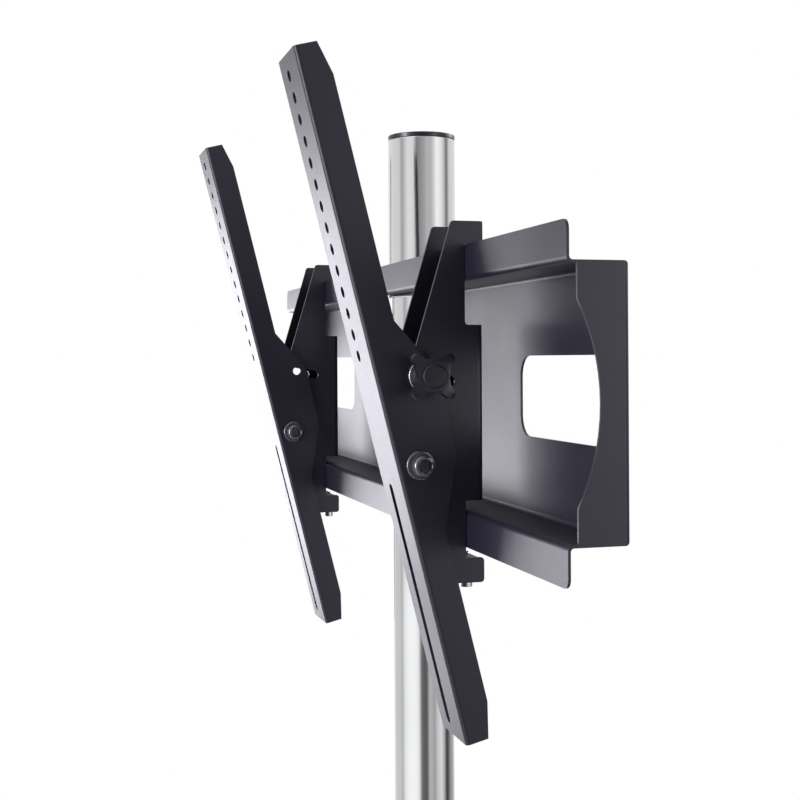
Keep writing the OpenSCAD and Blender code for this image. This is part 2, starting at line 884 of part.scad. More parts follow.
module safety_nut(hook_x) {
    color(zinc_color)
        on_beam(hook_x)
            translate([0, safety_y, cross_wall_z - hook_t - safety_nut_h])
                difference() {
                    cylinder(r = safety_d * 0.96, h = safety_nut_h, $fn = 6);
                    translate([0, 0, -overrun])
                        cylinder(r = safety_d / 2 + run_fit, h = safety_nut_h + 2 * overrun);
                }
}

module safety_screw(hook_x) {
    color(zinc_color)
        on_beam(hook_x)
            translate([0, safety_y, 0]) {
                translate([0, 0, safety_head_z - safety_head_h])
                    cylinder(r = safety_head_r, h = safety_head_h);
                translate([0, 0, safety_head_z - overrun])
                    cylinder(r = safety_d / 2, h = safety_tip_z - safety_head_z + overrun);
            }
}

// Screen arms

// Plan of an arm in X and Y: the side plate and the front face, joined by the bend.
module arm_plan() {
    translate([-arm_t, -arm_front + arm_bend_r])
        square([arm_t, arm_depth - arm_bend_r]);
    translate([-arm_face_w, -arm_front])
        square([arm_face_w - arm_bend_r, arm_t]);
    translate([-arm_bend_r, -arm_front + arm_bend_r])
        quarter_ring(arm_bend_r - arm_t, arm_bend_r, 1, -1);
}

// Side view of an arm without its ear.
arm_side = [
    [-arm_front - overrun, -arm_low],
    [arm_back - arm_chamfer_w, -arm_low],
    [arm_back, -arm_low + arm_low_chamfer],
    [arm_back, arm_high - arm_top_chamfer],
    [arm_back - arm_chamfer_w, arm_high],
    [-arm_front - overrun, arm_high]
];

// Side view of the ear that carries the tilt bolt.
ear_side = rounded([
    [0, ear_low_z, 0],
    [arm_back, ear_low_z, 0],
    [ear_y - arm_t / 3, 0, ear_w / 3],
    [ear_y, ear_shoulder_z, ear_w / 3],
    [arm_back, ear_top_z, 0],
    [0, ear_top_z, 0]
]);

module on_arm(hook_x) {
    on_pivot(hook_x)
        rotate([tilt, 0, 0])
            children();
}

module arm(hook_x) {
    color(steel_color)
        on_arm(hook_x)
            translate([arm_side_x, 0, 0])
                difference() {
                    union() {
                        intersection() {
                            translate([0, 0, -arm_low])
                                linear_extrude(height = arm_len)
                                    arm_plan();
                            translate([-arm_face_w - overrun, 0, 0])
                                across(arm_face_w + 2 * overrun)
                                    polygon(arm_side);
                        }
                        translate([-arm_t, 0, 0])
                            across(arm_t)
                                polygon(ear_side);
                    }
                    along_x(pivot_r + run_fit, -arm_t - overrun, overrun);
                    translate([0, tilt_bolt_back, tilt_bolt_up])
                        along_x(tilt_bolt_r + drill_fit, -arm_t - overrun, overrun);
                    for (i = [0 : hole_count - 1])
                        translate([hole_x, -arm_front, arm_high - hole_top - i * hole_pitch])
                            along_y(hole_d / 2, -overrun, arm_t + overrun);
                    for (z = [slot_low_z, slot_high_z])
                        translate([hole_x, -arm_front, z])
                            along_y(hole_d / 2, -overrun, arm_t + overrun);
                    translate([hole_x - hole_d / 2, -arm_front - overrun, slot_low_z])
                        cube([hole_d, arm_t + 2 * overrun, slot_high_z - slot_low_z]);
                }
}

// Tilt bolt and knob of the right arm

module on_tilt_bolt() {
    on_arm(right_hook_x)
        translate([0, tilt_bolt_back, tilt_bolt_up])
            children();
}

module tilt_bolt() {
    dome_r = (pow(tilt_head_r, 2) + pow(tilt_head_h, 2)) / (2 * tilt_head_h);
    color(zinc_color)
        on_tilt_bolt() {
            translate([tilt_head_x, 0, 0])
                rotate([0, -90, 0])
                    intersection() {
                        cylinder(r = tilt_head_r, h = tilt_head_h);
                        translate([0, 0, tilt_head_h - dome_r])
                            sphere(r = dome_r);
                    }
            along_x(tilt_bolt_r, tilt_head_x - tilt_head_h / 2, hub_x + insert_len);
        }
}

module knob_washer() {
    color(zinc_color)
        on_tilt_bolt()
            difference() {
                along_x(knob_washer_d / 2, arm_side_x, arm_side_x + knob_washer_t);
                along_x(tilt_bolt_r + run_fit, arm_side_x - overrun, arm_side_x + knob_washer_t + overrun);
            }
}

// Outline of the knob: four round lobes on the diagonals, joined by hollow scallops.
module knob_outline() {
    difference() {
        union() {
            circle(r = lobe_ring_r);
            for (a = [45 : 90 : 315])
                rotate([0, 0, a]) {
                    translate([lobe_ring_r, 0])
                        circle(r = lobe_r);
                    translate([0, -lobe_r])
                        square([lobe_ring_r, 2 * lobe_r]);
                }
        }
        for (a = [0 : 90 : 270])
            rotate([0, 0, a])
                translate([scallop_floor_r + scallop_r, 0])
                    circle(r = scallop_r);
    }
}

module tilt_knob() {
    color(plastic_color)
        on_tilt_bolt()
            rotate([-knob_turn, 0, 0])
                difference() {
                    union() {
                        translate([lobe_x, 0, 0])
                            intersection() {
                                across(knob_t)
                                    knob_outline();
                                rotate([0, 90, 0])
                                    rotate_extrude()
                                        polygon([
                                            [0, 0],
                                            [knob_d / 2 - knob_edge_r, 0],
                                            [knob_d / 2, knob_edge_r],
                                            [knob_d / 2, knob_t - 2 * knob_edge_r],
                                            [knob_d / 2 - knob_edge_r, knob_t - knob_edge_r],
                                            [knob_cap_d / 2 + knob_edge_r, knob_t],
                                            [0, knob_t]
                                        ]);
                            }
                        along_x(hub_d / 2, hub_x, lobe_x + knob_edge_r);
                    }
                    along_x(insert_r + run_fit, hub_x - overrun, hub_x + insert_len);
                    along_x(knob_cap_d / 2 + run_fit, knob_face_x - cap_seat, knob_face_x + overrun);
                }
}

module knob_insert() {
    color(brass_color)
        on_tilt_bolt()
            difference() {
                along_x(insert_r, hub_x, hub_x + insert_len);
                along_x(tilt_bolt_r + run_fit, hub_x - overrun, hub_x + insert_len + overrun);
            }
}

module knob_cap() {
    color(plastic_color)
        on_tilt_bolt()
            translate([knob_face_x - cap_seat, 0, 0])
                rotate([0, 90, 0])
                    rotate_extrude()
                        polygon([
                            [0, 0],
                            [knob_cap_d / 2, 0],
                            [knob_cap_d / 2, knob_cap_t - knob_cap_edge],
                            [knob_cap_d / 2 - knob_cap_edge, knob_cap_t],
                            [0, knob_cap_t]
                        ]);
}

base_plate();
base_glides();
foot_flange();
base_bolts();
pole();
top_sleeve();
sleeve_cap();
beam();
clamp_rear_plate();
clamp_front_jaw();
clamp_bolts();
clamp_nuts();
beam_bolts();
beam_nuts();
hook(right_hook_x);  // hook_right
hook(left_hook_x);  // hook_left
pivot_bolt(right_hook_x);  // pivot_bolt_right
pivot_bolt(left_hook_x);  // pivot_bolt_left
pivot_washers(right_hook_x);  // pivot_washers_right
pivot_washers(left_hook_x);  // pivot_washers_left
pivot_spacer(right_hook_x);  // pivot_spacer_right
pivot_spacer(left_hook_x);  // pivot_spacer_left
pivot_nut(right_hook_x);  // pivot_nut_right
pivot_nut(left_hook_x);  // pivot_nut_left
safety_nut(right_hook_x);  // safety_nut_right
safety_nut(left_hook_x);  // safety_nut_left
safety_screw(right_hook_x);  // safety_screw_right
safety_screw(left_hook_x);  // safety_screw_left
arm(right_hook_x);  // arm_right
arm(left_hook_x);  // arm_left
tilt_bolt();
knob_washer();
tilt_knob();
knob_insert();
knob_cap();
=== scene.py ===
"""Looks of a screen stand: a chrome column on a floor plate, a folded crossbeam, two hooks that
hang on it, and two tilting screen arms, one of them with a hand knob."""

import json
import math

import bmesh
import bpy
from mathutils import Matrix, Vector


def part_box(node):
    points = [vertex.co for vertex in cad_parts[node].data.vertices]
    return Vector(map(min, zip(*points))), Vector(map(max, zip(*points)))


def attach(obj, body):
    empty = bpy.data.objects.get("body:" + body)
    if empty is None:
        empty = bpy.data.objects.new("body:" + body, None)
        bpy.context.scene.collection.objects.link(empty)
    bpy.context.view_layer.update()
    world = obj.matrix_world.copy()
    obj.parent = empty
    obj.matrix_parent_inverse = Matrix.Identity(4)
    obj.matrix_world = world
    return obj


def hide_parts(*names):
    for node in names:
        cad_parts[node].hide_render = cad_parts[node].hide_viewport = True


bl_info = {
    "name": "Screen stand looks",
    "version": (1, 0, 0),
    "blender": (4, 5, 0),
    "location": "3D View > Sidebar > Stand",
    "description": "Finishes the screen stand and sets up its studio",
    "category": "Object",
}

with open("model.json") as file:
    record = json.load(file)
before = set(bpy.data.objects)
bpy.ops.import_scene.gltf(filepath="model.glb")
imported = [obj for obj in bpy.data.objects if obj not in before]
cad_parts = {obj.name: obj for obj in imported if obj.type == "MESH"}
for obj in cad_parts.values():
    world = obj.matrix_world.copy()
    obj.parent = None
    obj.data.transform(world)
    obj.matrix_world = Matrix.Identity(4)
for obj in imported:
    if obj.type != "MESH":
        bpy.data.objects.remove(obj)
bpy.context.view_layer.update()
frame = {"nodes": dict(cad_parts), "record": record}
NODES = frame["nodes"]
BODIES = frame["record"]["behaviour"]["bodies"]

# Points of the CAD meshes closer than this are one point, in metres.
MERGE = 1e-5
# An edge between facets that is sharper than this is a real edge of the part.
REAL_EDGE = math.radians(34)
# Facets flatter than this lie in one face.
ONE_FACE = math.radians(0.4)
# Edges of a finished piece that are sharper than this aren't shaded smooth.
SHARP = math.radians(50)
# Room between a screw and the bore round it, in metres.
BORE_ROOM = 0.00005
# The cut tip of a screw: its height, and how much thinner it ends, in metres.
TIP_HEIGHT = 0.0006
TIP_CUT = 0.0012
# Where the middle ring of a rounded edge lies, as a share of its width.
EDGE_MIDDLE = 0.3
# Half of the angle that a hexagon's side takes up. Turned by it, a hexagon has corners for flats.
HEX_TURN = math.pi / 6
SIDES = ("right", "left")


# Sizes and colours


class StandSizes(bpy.types.PropertyGroup):
    """Small sizes that the plates, tubes and screws are finished with."""

    plate_edge: bpy.props.FloatProperty(
        name="Plate edge", description="Rounding of the coated plates' edges",
        default=0.0006, min=0.0001, max=0.0009, unit="LENGTH")
    knob_edge: bpy.props.FloatProperty(
        name="Knob edge", description="Rounding of the moulded knob's edges",
        default=0.0009, min=0.0002, max=0.0012, unit="LENGTH")
    rim_edge: bpy.props.FloatProperty(
        name="Rim edge", description="Rounding of washers' and nuts' rims",
        default=0.0005, min=0.0002, max=0.0008, unit="LENGTH")
    thread_depth: bpy.props.FloatProperty(
        name="Thread depth", description="Depth of the screws' threads",
        default=0.0004, min=0.0001, max=0.0008, unit="LENGTH")
    round_sides: bpy.props.IntProperty(
        name="Round sides", description="Sides of a small turned piece", default=48, min=24, max=96)
    tube_sides: bpy.props.IntProperty(
        name="Tube sides", description="Sides of the polished tubes", default=192, min=96, max=360)


class StandColours(bpy.types.PropertyGroup):
    """Colours of the stand's finishes."""

    coat: bpy.props.FloatVectorProperty(
        name="Powder coat", description="Colour of the coated steel", subtype="COLOR",
        default=(0.0097, 0.0087, 0.018), min=0, max=1)
    chrome: bpy.props.FloatVectorProperty(
        name="Chrome", description="Colour of the polished tubes", subtype="COLOR",
        default=(0.87, 0.875, 0.885), min=0, max=1)
    plastic: bpy.props.FloatVectorProperty(
        name="Plastic", description="Colour of the knob and the cap", subtype="COLOR",
        default=(0.011, 0.0107, 0.0175), min=0, max=1)
    bolt: bpy.props.FloatVectorProperty(
        name="Black bolts", description="Colour of the blackened screws", subtype="COLOR",
        default=(0.125, 0.122, 0.145), min=0, max=1)
    zinc: bpy.props.FloatVectorProperty(
        name="Zinc", description="Colour of the plated screws", subtype="COLOR",
        default=(0.62, 0.63, 0.65), min=0, max=1)
    brass: bpy.props.FloatVectorProperty(
        name="Brass", description="Colour of the knob's insert", subtype="COLOR",
        default=(0.72, 0.55, 0.26), min=0, max=1)
    rubber: bpy.props.FloatVectorProperty(
        name="Rubber", description="Colour of the glides", subtype="COLOR",
        default=(0.018, 0.018, 0.018), min=0, max=1)


class StandStudio(bpy.types.PropertyGroup):
    """Camera and light."""

    lens: bpy.props.FloatProperty(
        name="Lens", description="Focal length in millimetres", default=59.36, min=20, max=200)
    camera_place: bpy.props.FloatVectorProperty(
        name="Camera place", description="Where the camera stands", subtype="TRANSLATION",
        unit="LENGTH", default=(1.2724, -0.2858, 1.3824))
    camera_turn: bpy.props.FloatProperty(
        name="Camera turn", description="Turn of the view to the right of the beam's length",
        default=math.radians(15.89), subtype="ANGLE")
    camera_roll: bpy.props.FloatProperty(
        name="Camera roll", description="Roll of the camera", default=math.radians(0.32),
        subtype="ANGLE")
    camera_shift: bpy.props.FloatProperty(
        name="Camera shift", description="Vertical shift of the picture", default=-0.0521,
        min=-0.2, max=0.2)
    room: bpy.props.FloatProperty(
        name="Room light", description="Light that the room gives from all sides", default=0.4,
        min=0, max=2)
    light: bpy.props.FloatVectorProperty(
        name="Light", description="Colour of the lamps and the room", subtype="COLOR",
        default=(0.93, 0.915, 1.0), min=0, max=1)
    top: bpy.props.FloatProperty(
        name="Top lamp", description="Power of the soft lamp above, in watts", default=26,
        min=0, max=400)
    side: bpy.props.FloatProperty(
        name="Side lamp", description="Power of the wide lamp beyond the beam's far end, in watts",
        default=87, min=0, max=400)
    strip: bpy.props.FloatProperty(
        name="Strip lamp", description="Power of the tall strip in front of the arms, in watts",
        default=90, min=0, max=400)
    right: bpy.props.FloatProperty(
        name="Right lamp", description="Power of the lamp high on the camera's right, in watts",
        default=7, min=0, max=400)
    back: bpy.props.FloatProperty(
        name="Back lamp", description="Power of the lamp that draws the rear edges, in watts",
        default=45, min=0, max=400)
    end: bpy.props.FloatProperty(
        name="End lamp", description="Power of the lamp that the beam's end wall mirrors, in watts",
        default=12, min=0, max=400)
    low: bpy.props.FloatProperty(
        name="Low lamp", description="Power of the lamp near the floor, in watts",
        default=4.5, min=0, max=400)


# Shader trees


class Socket:
    """An output of a node that can be used in sums."""

    def __init__(self, tree, output):
        self.tree = tree
        self.output = output

    def _math(self, operation, first, second):
        return self.tree.node("ShaderNodeMath", {"operation": operation}, {0: first, 1: second})

    def __add__(self, other):
        return self._math("ADD", self, other)

    def __mul__(self, other):
        return self._math("MULTIPLY", self, other)

    __radd__ = __add__
    __rmul__ = __mul__


class Tree:
    """A node tree that is built from Python expressions."""

    def __init__(self, owner):
        owner.use_nodes = True
        self.nodes = owner.node_tree.nodes
        self.links = owner.node_tree.links
        self.nodes.clear()

    def node(self, kind, settings=None, inputs=None, output=0):
        """Adds a node, sets its settings, then links or sets its inputs."""
        made = self.nodes.new(kind)
        for key, value in (settings or {}).items():
            if key == "stops":
                self._stops(made.color_ramp.elements, value)
            else:
                setattr(made, key, value)
        for key, value in (inputs or {}).items():
            if isinstance(value, Socket):
                self.links.new(value.output, made.inputs[key])
            else:
                made.inputs[key].default_value = value
        return Socket(self, made.outputs[output]) if made.outputs else made

    @staticmethod
    def _stops(elements, stops):
        """Gives a colour ramp its grey stops."""
        while len(elements) > 1:
            elements.remove(elements[-1])
        for i, (place, value) in enumerate(stops):
            element = elements[0] if i == 0 else elements.new(place)
            element.position = place
            element.color = (value, value, value, 1)

    def noise(self, place, scale, detail=2.0, roughness=0.5):
        """Noise between 0 and 1."""
        return self.node("ShaderNodeTexNoise", inputs={
            "Vector": place, "Scale": scale, "Detail": detail, "Roughness": roughness})

    def range(self, value, to_low, to_high, low=0.3, high=0.7):
        """The value moved from one range to another, and held inside it. Noise fills 0.3 to 0.7."""
        return self.node("ShaderNodeMapRange", inputs={
            "Value": value, "From Min": low, "From Max": high, "To Min": to_low, "To Max": to_high})

    def stretched(self, place, scale):
        """Coordinates scaled by a different number along each axis."""
        return self.node("ShaderNodeMapping", inputs={"Vector": place, "Scale": scale})

    def tone(self, colour, amount):
        """The colour, multiplied by a number that changes over the surface."""
        return self.node(
            "ShaderNodeVectorMath", {"operation": "SCALE"}, {0: colour, "Scale": amount})

    def bump(self, height, strength, distance, normal=None):
        """A normal that the height presses in."""
        inputs = {"Height": height, "Strength": strength, "Distance": distance}
        if normal is not None:
            inputs["Normal"] = normal
        return self.node("ShaderNodeBump", inputs=inputs)


def finish(name, swatch, build):
    """A material. build gets the tree, the object coordinates and the colour that the user can
    change, and returns the shader's inputs."""
    material = bpy.data.materials.get(name)
    if material:
        return material
    material = bpy.data.materials.new(name)
    tree = Tree(material)
    place = tree.node("ShaderNodeTexCoord", output="Object")
    colour = tuple(getattr(bpy.context.scene.stand_colours, swatch))
    shader = tree.node("ShaderNodeBsdfPrincipled", inputs=build(tree, place, colour))
    tree.node("ShaderNodeOutputMaterial", inputs={"Surface": shader})
    return material


def coat():
    """Charcoal powder coat: a fine orange peel with a satin shine."""

    def build(tree, place, colour):
        grain = tree.noise(place, 850.0, 3.0, 0.6)
        peel = tree.noise(place, 260.0, 1.0)
        cloud = tree.noise(place, 9.0, 2.0)
        tint = tree.range(grain, 0.7, 1.34) * tree.range(cloud, 0.94, 1.07)
        rough = tree.range(grain, 0.36, 0.46) + tree.range(cloud, -0.015, 0.015)
        normal = tree.bump(peel, 0.1, 0.0002)
        return {
            "Base Color": tree.tone(colour, tint),
            "Roughness": rough,
            "IOR": 1.46,
            "Normal": tree.bump(grain, 0.3, 0.0001, normal),
        }

    return finish("Charcoal powder coat", "coat", build)


def chrome():
    """Polished chrome with faint draw lines along the tube."""

    def build(tree, place, colour):
        lines = tree.noise(tree.stretched(place, (420.0, 420.0, 4.0)), 1.0, 3.0, 0.6)
        haze = tree.noise(place, 14.0, 3.0)
        return {
            "Base Color": tree.tone(colour, tree.range(haze, 0.97, 1.02)),
            "Metallic": 1.0,
            "Roughness": tree.range(lines, 0.1, 0.15)
            + tree.range(haze, 0.0, 0.02, 0.35, 0.7),
            "Normal": tree.bump(lines, 0.012, 0.0001),
        }

    return finish("Polished chrome", "chrome", build)


def plastic():
    """Black moulded plastic with a fine spark-eroded grain."""

    def build(tree, place, colour):
        grain = tree.noise(place, 1500.0, 3.0, 0.6)
        cloud = tree.noise(place, 60.0, 2.0)
        return {
            "Base Color": tree.tone(colour, tree.range(grain, 0.88, 1.12)),
            "Roughness": tree.range(cloud, 0.27, 0.34),
            "IOR": 1.45,
            "Normal": tree.bump(grain, 0.2, 0.00006),
        }

    return finish("Grained black plastic", "plastic", build)


def blackened():
    """Blackened and oiled steel of the screws."""

    def build(tree, place, colour):
        grain = tree.noise(place, 900.0, 3.0, 0.6)
        oil = tree.noise(place, 120.0, 2.0)
        return {
            "Base Color": tree.tone(colour, tree.range(grain, 0.8, 1.2)),
            "Metallic": 0.75,
            "Roughness": tree.range(oil, 0.17, 0.27),
            "Normal": tree.bump(grain, 0.06, 0.00005),
        }

    return finish("Blackened steel", "bolt", build)


def zinc():
    """Bright zinc plating with a faint spangle."""

    def build(tree, place, colour):
        spangle = tree.node("ShaderNodeTexVoronoi", inputs={"Vector": place, "Scale": 700.0})
        haze = tree.noise(place, 180.0, 2.0)
        return {
            "Base Color": tree.tone(colour, tree.range(spangle, 0.93, 1.05, 0.0, 0.6)),
            "Metallic": 1.0,
            "Roughness": tree.range(haze, 0.26, 0.4),
            "Normal": tree.bump(spangle, 0.05, 0.00005),
        }

    return finish("Zinc plating", "zinc", build)


def brass():
    """Turned brass with fine rings."""

    def build(tree, place, colour):
        rings = tree.noise(tree.stretched(place, (4000.0, 60.0, 60.0)), 1.0, 2.0)
        return {
            "Base Color": tree.tone(colour, tree.range(rings, 0.9, 1.05)),
            "Metallic": 1.0,
            "Roughness": tree.range(rings, 0.24, 0.36),
            "Normal": tree.bump(rings, 0.08, 0.00005),
        }

    return finish("Turned brass", "brass", build)


def rubber():
    """Matte black rubber of the glides."""

    def build(tree, place, colour):
        grain = tree.noise(place, 900.0, 4.0, 0.65)
        dust = tree.noise(place, 45.0, 3.0)
        return {
            "Base Color": tree.tone(colour, tree.range(dust, 0.9, 1.5, 0.35, 0.75)),
            "Roughness": tree.range(dust, 0.7, 0.85),
            "Normal": tree.bump(grain, 0.25, 0.0001),
        }

    return finish("Matte rubber", "rubber", build)


# Making of pieces


def body_of(node):
    """The body that carries a CAD node."""
    return next(name for name, nodes in BODIES.items() if node in nodes)


def middle(node):
    """Middle of a CAD node's box."""
    low, high = (Vector(corner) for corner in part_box(node))
    return (low + high) / 2


def span(node):
    """Size of a CAD node's box."""
    low, high = (Vector(corner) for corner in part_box(node))
    return high - low


def four_spots(node, axis, reach):
    """Feet of a node's four like pieces, whose own axis is x, y or z (0, 1 or 2). reach says how far
    they are from the node's middle along the two other axes."""
    foot = middle(node)
    foot[axis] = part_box(node)[0][axis]
    first, second = (i for i in range(3) if i != axis)
    for one in (-1, 1):
        for other in (-1, 1):
            spot = foot.copy()
            spot[first] += one * reach[0]
            spot[second] += other * reach[1]
            yield spot


def piece(name, bm, material, slot, *nodes):
    """Makes a finished piece that stands for CAD nodes and rides on their body."""
    mesh = bpy.data.meshes.new(name)
    bm.to_mesh(mesh)
    bm.free()
    mesh.materials.append(material)
    mesh.shade_smooth()
    mesh.set_sharp_from_angle(angle=SHARP)
    obj = bpy.data.objects.new(name, mesh)
    bpy.context.scene.collection.objects.link(obj)
    even = obj.modifiers.new("Even shading", "WEIGHTED_NORMAL")
    even.keep_sharp = True
    even.weight = 100
    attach(obj, body_of(nodes[0]))
    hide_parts(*nodes)
    return obj


def rounded_copy(node, width, steps=2):
    """A bmesh of a CAD node with its real edges rounded."""
    bm = bmesh.new()
    bm.from_mesh(NODES[node].data)
    bmesh.ops.remove_doubles(bm, verts=bm.verts, dist=MERGE)
    bmesh.ops.dissolve_limit(
        bm, angle_limit=ONE_FACE, use_dissolve_boundaries=False, verts=bm.verts, edges=bm.edges)
    real = [e for e in bm.edges if len(e.link_faces) == 2 and e.calc_face_angle(0) > REAL_EDGE]
    bmesh.ops.bevel(
        bm, geom=real, offset=width, offset_type="OFFSET", segments=steps, profile=0.5,
        affect="EDGES", clamp_overlap=True, material=-1)
    return bm


def ring_radius(ring, angle):
    """Distance of a ring's point from the axis. A ring with 6 corners is a hexagon."""
    if len(ring) < 3:
        return ring[0]
    sector = (angle + HEX_TURN) % (2 * HEX_TURN) - HEX_TURN
    return ring[0] / math.cos(sector)


def shape_ring(verts, ring):
    """Moves a loop of points to a ring, which is (radius, height), or (half the width across flats,
    height, 6) for a hexagon."""
    for v in verts:
        angle = math.atan2(v.co.y, v.co.x)
        r = ring_radius(ring, angle)
        v.co = (r * math.cos(angle), r * math.sin(angle), ring[1])


def turned(bm, rings, place, sides, bore=False):
    """Adds a turned shape: the rings one after another, closed by end faces or round a bore."""
    loop = bmesh.ops.create_circle(bm, cap_ends=not bore, segments=sides, radius=1)["verts"]
    shape_ring(loop, rings[0])
    edges = [e for e in bm.edges if e.verts[0] in loop and e.verts[1] in loop]
    first, made = edges, list(loop)
    for ring in rings[1:]:
        grown = bmesh.ops.extrude_edge_only(bm, edges=edges)["geom"]
        loop = [g for g in grown if isinstance(g, bmesh.types.BMVert)]
        known = set(loop)
        edges = [g for g in grown if isinstance(g, bmesh.types.BMEdge) and set(g.verts) <= known]
        shape_ring(loop, ring)
        made += loop
    if bore:
        bmesh.ops.bridge_loops(bm, edges=first + edges)
    else:
        bmesh.ops.edgeloop_fill(bm, edges=edges)
    faces = {f for v in made for f in v.link_faces}
    bmesh.ops.recalc_face_normals(bm, faces=list(faces))
    bmesh.ops.transform(bm, matrix=place, verts=made)


def facing(place, direction, turn=0.0):
    """Matrix that puts a turned shape's foot at place, with its axis along direction."""
    aim = Vector(direction).to_track_quat("Z", "Y").to_matrix().to_4x4()
    return Matrix.Translation(place) @ aim @ Matrix.Rotation(turn, 4, "Z")


def dome(radius, height, base, steps=7):
    """Rings of a low dome from its rim at base up to the middle, without the middle point."""
    ball = (radius ** 2 + height ** 2) / (2 * height)
    rings = []
    for i in range(steps):
        r = radius * (1 - i / steps)
        rings.append((r, base + height - ball + math.sqrt(ball ** 2 - r ** 2)))
    return rings


def round_over(radius, top, fillet, steps=6):
    """Rings of a rounded shoulder, from the wall at the radius up and in to the face at the top."""
    turns = [math.radians(90 * i / steps) for i in range(steps + 1)]
    return [
        (radius - fillet * (1 - math.cos(a)), top - fillet * (1 - math.sin(a))) for a in turns]


def thread(radius, depth, low, high, pitch):
    """Rings of a threaded stretch between two heights, from the lower one up."""
    turns = max(1, round((high - low) / pitch))
    step = (high - low) / turns
    rings = []
    for i in range(turns):
        rings += [(radius - depth, low + i * step), (radius, low + (i + 0.5) * step)]
    return rings + [(radius - depth, high)]


def turned_over(rings, height):
    """The rings turned over, so that height 0 comes to the given height and the last ring first."""
    return [(radius, height - z, *corners) for radius, z, *corners in reversed(rings)]


def socket_down(flats, depth, lead):
    """Rings of a hexagon socket that opens downwards at height 0, from its floor to its mouth."""
    return [(flats, depth, 6), (flats, lead, 6), (flats * 1.2, 0.0)]


def low_edge(radius, edge):
    """Rings of a rounded lower edge, from the face at height 0 out and up to the wall."""
    return [(radius - edge, 0.0), (radius - edge * EDGE_MIDDLE, edge * EDGE_MIDDLE), (radius, edge)]


def rounded_wall(radius, height, edge):
    """Rings of a wall from height 0 up, rounded at both ends."""
    foot = low_edge(radius, edge)
    return foot + turned_over(foot, height)


def washer_rings(bore, radius, thick, edge):
    """Rings of a washer or a tube with a rounded rim, lying between 0 and its thickness."""
    return [(bore, 0.0)] + rounded_wall(radius, thick, edge) + [(bore, thick)]


def nut_rings(bore, flats, thick, edge):
    """Rings of a hexagon nut with a chamfered face on both sides."""
    lead = edge * 0.8
    foot = [(bore, lead), (bore + lead, 0.0), (flats * 0.97, 0.0), (flats, flats * 0.1, 6)]
    return foot + turned_over(foot, thick)


class StandOperator:
    """What the stand's operators share."""

    bl_options = {"REGISTER", "UNDO"}

    @property
    def sizes(self):
        return bpy.context.scene.stand_sizes


# Pieces


class STAND_OT_plates(StandOperator, bpy.types.Operator):
    """Gives the bent and cut plates their rounded edges and their powder coat."""

    bl_idname = "stand.plates"
    bl_label = "Coated plates"

    pieces = {
        "base_plate": "floor_plate", "foot_flange": "column_foot", "beam": "crossbeam",
        "clamp_rear_plate": "column_clamp_rear", "clamp_front_jaw": "column_clamp_front",
        "hook_right": "bracket_hook_right", "hook_left": "bracket_hook_left",
        "arm_right": "screen_arm_right", "arm_left": "screen_arm_left",
    }

    def execute(self, context):
        for node, name in self.pieces.items():
            piece(name, rounded_copy(node, self.sizes.plate_edge), coat(), "powder_coat", node)
        return {"FINISHED"}


class STAND_OT_column(StandOperator, bpy.types.Operator):
    """Turns the polished pole and sleeve, and the plastic cap on top."""

    bl_idname = "stand.column"
    bl_label = "Column"

    pole_wall = 0.002
    pole_edge = 0.0004
    sleeve_wall = 0.0034
    sleeve_edge = 0.0008
    cap_rim = 0.0046
    cap_wall = 0.0025
    cap_floor = 0.002

    def tube(self, name, node, wall, edge):
        low, high = (Vector(corner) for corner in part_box(node))
        radius = (high.x - low.x) / 2
        rings = washer_rings(radius - wall, radius, high.z - low.z, edge)
        place = Matrix.Translation((middle(node).x, middle(node).y, low.z))
        bm = bmesh.new()
        turned(bm, rings, place, self.sizes.tube_sides, bore=True)
        piece(name, bm, chrome(), "chrome", node)

    def cap(self):
        """A hollow plug in the sleeve under a rim and a low dome. Height 0 is the sleeve's end."""
        low, high = (Vector(corner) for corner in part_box("sleeve_cap"))
        radius = (high.x - low.x) / 2
        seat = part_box("top_sleeve")[1][2]
        plug = seat - low.z
        plug_r = radius - self.sleeve_wall
        hollow_r = plug_r - self.cap_wall
        rim = self.cap_rim
        edge = self.sizes.rim_edge
        rings = [
            (hollow_r, -self.cap_floor), (hollow_r, -plug), (plug_r - edge, -plug),
            (plug_r, edge - plug), (plug_r, 0.0), (radius - edge, 0.0), (radius, edge),
            (radius, rim - edge), (radius - edge * 0.4, rim - edge * 0.3),
        ] + dome(radius - edge * 2, high.z - seat - rim, rim, steps=12)
        bm = bmesh.new()
        place = Matrix.Translation((middle("sleeve_cap").x, middle("sleeve_cap").y, seat))
        turned(bm, rings, place, self.sizes.tube_sides)
        piece("sleeve_end_cap", bm, plastic(), "black_plastic", "sleeve_cap")

    def execute(self, context):
        self.tube("column_pole", "pole", self.pole_wall, self.pole_edge)
        self.tube("column_sleeve", "top_sleeve", self.sleeve_wall, self.sleeve_edge)
        self.cap()
        return {"FINISHED"}


